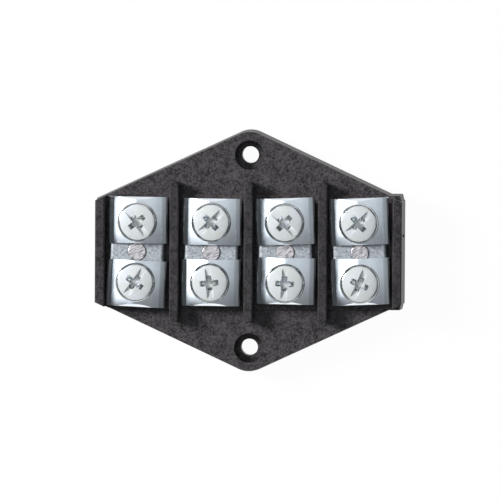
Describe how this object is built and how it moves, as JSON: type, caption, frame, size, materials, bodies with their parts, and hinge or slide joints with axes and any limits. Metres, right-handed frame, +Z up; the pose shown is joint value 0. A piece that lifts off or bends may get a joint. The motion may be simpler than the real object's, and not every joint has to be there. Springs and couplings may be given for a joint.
{
  "type": "terminal strip",
  "caption": "Hexagonal moulded terminal strip: a row of riveted bars between ribs, with a screw-down saddle clamp at each bar end, fixed by counterbored holes.",
  "frame": {"origin": "centre of the underside, on the surface that the strip is screwed to", "axes": "+X along the row of poles, +Y towards the rear row of clamps, +Z up out of that surface"},
  "size_m": [0.0786, 0.0616, 0.017],
  "materials": {
    "moulding": "fine-grained matt moulded resin, dark brown-black",
    "zinc_bar": "zinc-plated steel bar with a grained surface",
    "zinc_plate": "bright blue-white zinc plating on pressed sheet",
    "zinc_screw": "bright zinc plating, slightly satin",
    "rivet_metal": "bare rivet head with file marks, grey with a little pink"
  },
  "bodies": {
    "base": {"base": "moulding", "terminal_bar_1": "zinc_bar", "terminal_bar_2": "zinc_bar", "terminal_bar_3": "zinc_bar", "terminal_bar_4": "zinc_bar", "rivet_1": "rivet_metal", "rivet_2": "rivet_metal", "rivet_3": "rivet_metal", "rivet_4": "rivet_metal"},
    "clamp_plate_1_rear": {"clamp_plate_1_rear": "zinc_plate"},
    "clamp_screw_1_rear": {"clamp_screw_1_rear": "zinc_screw"},
    "clamp_plate_2_rear": {"clamp_plate_2_rear": "zinc_plate"},
    "clamp_screw_2_rear": {"clamp_screw_2_rear": "zinc_screw"},
    "clamp_plate_3_rear": {"clamp_plate_3_rear": "zinc_plate"},
    "clamp_screw_3_rear": {"clamp_screw_3_rear": "zinc_screw"},
    "clamp_plate_4_rear": {"clamp_plate_4_rear": "zinc_plate"},
    "clamp_screw_4_rear": {"clamp_screw_4_rear": "zinc_screw"},
    "clamp_plate_1_front": {"clamp_plate_1_front": "zinc_plate"},
    "clamp_screw_1_front": {"clamp_screw_1_front": "zinc_screw"},
    "clamp_plate_2_front": {"clamp_plate_2_front": "zinc_plate"},
    "clamp_screw_2_front": {"clamp_screw_2_front": "zinc_screw"},
    "clamp_plate_3_front": {"clamp_plate_3_front": "zinc_plate"},
    "clamp_screw_3_front": {"clamp_screw_3_front": "zinc_screw"},
    "clamp_plate_4_front": {"clamp_plate_4_front": "zinc_plate"},
    "clamp_screw_4_front": {"clamp_screw_4_front": "zinc_screw"}
  },
  "joints": [
    {"name": "plate_lift_1_rear", "type": "slide", "parent": "base", "child": "clamp_plate_1_rear", "axis": [0, 0, 1], "range_m": [0, 0.004]},
    {"name": "screw_turn_1_rear", "type": "hinge", "parent": "clamp_plate_1_rear", "child": "clamp_screw_1_rear", "pos_m": [-0.028, 0.00765, 0.01204], "axis": [0, 0, 1], "range_deg": [0, 1800]},
    {"name": "plate_lift_2_rear", "type": "slide", "parent": "base", "child": "clamp_plate_2_rear", "axis": [0, 0, 1], "range_m": [0, 0.004]},
    {"name": "screw_turn_2_rear", "type": "hinge", "parent": "clamp_plate_2_rear", "child": "clamp_screw_2_rear", "pos_m": [-0.00925, 0.00765, 0.01204], "axis": [0, 0, 1], "range_deg": [0, 1800]},
    {"name": "plate_lift_3_rear", "type": "slide", "parent": "base", "child": "clamp_plate_3_rear", "axis": [0, 0, 1], "range_m": [0, 0.004]},
    {"name": "screw_turn_3_rear", "type": "hinge", "parent": "clamp_plate_3_rear", "child": "clamp_screw_3_rear", "pos_m": [0.00931, 0.00765, 0.01204], "axis": [0, 0, 1], "range_deg": [0, 1800]},
    {"name": "plate_lift_4_rear", "type": "slide", "parent": "base", "child": "clamp_plate_4_rear", "axis": [0, 0, 1], "range_m": [0, 0.004]},
    {"name": "screw_turn_4_rear", "type": "hinge", "parent": "clamp_plate_4_rear", "child": "clamp_screw_4_rear", "pos_m": [0.02805, 0.00765, 0.01204], "axis": [0, 0, 1], "range_deg": [0, 1800]},
    {"name": "plate_lift_1_front", "type": "slide", "parent": "base", "child": "clamp_plate_1_front", "axis": [0, 0, 1], "range_m": [0, 0.004]},
    {"name": "screw_turn_1_front", "type": "hinge", "parent": "clamp_plate_1_front", "child": "clamp_screw_1_front", "pos_m": [-0.02845, -0.00765, 0.01204], "axis": [0, 0, 1], "range_deg": [0, 1800]},
    {"name": "plate_lift_2_front", "type": "slide", "parent": "base", "child": "clamp_plate_2_front", "axis": [0, 0, 1], "range_m": [0, 0.004]},
    {"name": "screw_turn_2_front", "type": "hinge", "parent": "clamp_plate_2_front", "child": "clamp_screw_2_front", "pos_m": [-0.00957, -0.00765, 0.01204], "axis": [0, 0, 1], "range_deg": [0, 1800]},
    {"name": "plate_lift_3_front", "type": "slide", "parent": "base", "child": "clamp_plate_3_front", "axis": [0, 0, 1], "range_m": [0, 0.004]},
    {"name": "screw_turn_3_front", "type": "hinge", "parent": "clamp_plate_3_front", "child": "clamp_screw_3_front", "pos_m": [0.0095, -0.00765, 0.01204], "axis": [0, 0, 1], "range_deg": [0, 1800]},
    {"name": "plate_lift_4_front", "type": "slide", "parent": "base", "child": "clamp_plate_4_front", "axis": [0, 0, 1], "range_m": [0, 0.004]},
    {"name": "screw_turn_4_front", "type": "hinge", "parent": "clamp_plate_4_front", "child": "clamp_screw_4_front", "pos_m": [0.0284, -0.00765, 0.01204], "axis": [0, 0, 1], "range_deg": [0, 1800]}
  ],
  "couplings": [
    {"joint": "screw_turn_1_rear", "follows": "plate_lift_1_rear", "rad_per_m": 7854},
    {"joint": "screw_turn_2_rear", "follows": "plate_lift_2_rear", "rad_per_m": 7854},
    {"joint": "screw_turn_3_rear", "follows": "plate_lift_3_rear", "rad_per_m": 7854},
    {"joint": "screw_turn_4_rear", "follows": "plate_lift_4_rear", "rad_per_m": 7854},
    {"joint": "screw_turn_1_front", "follows": "plate_lift_1_front", "rad_per_m": 7854},
    {"joint": "screw_turn_2_front", "follows": "plate_lift_2_front", "rad_per_m": 7854},
    {"joint": "screw_turn_3_front", "follows": "plate_lift_3_front", "rad_per_m": 7854},
    {"joint": "screw_turn_4_front", "follows": "plate_lift_4_front", "rad_per_m": 7854}
  ]
}
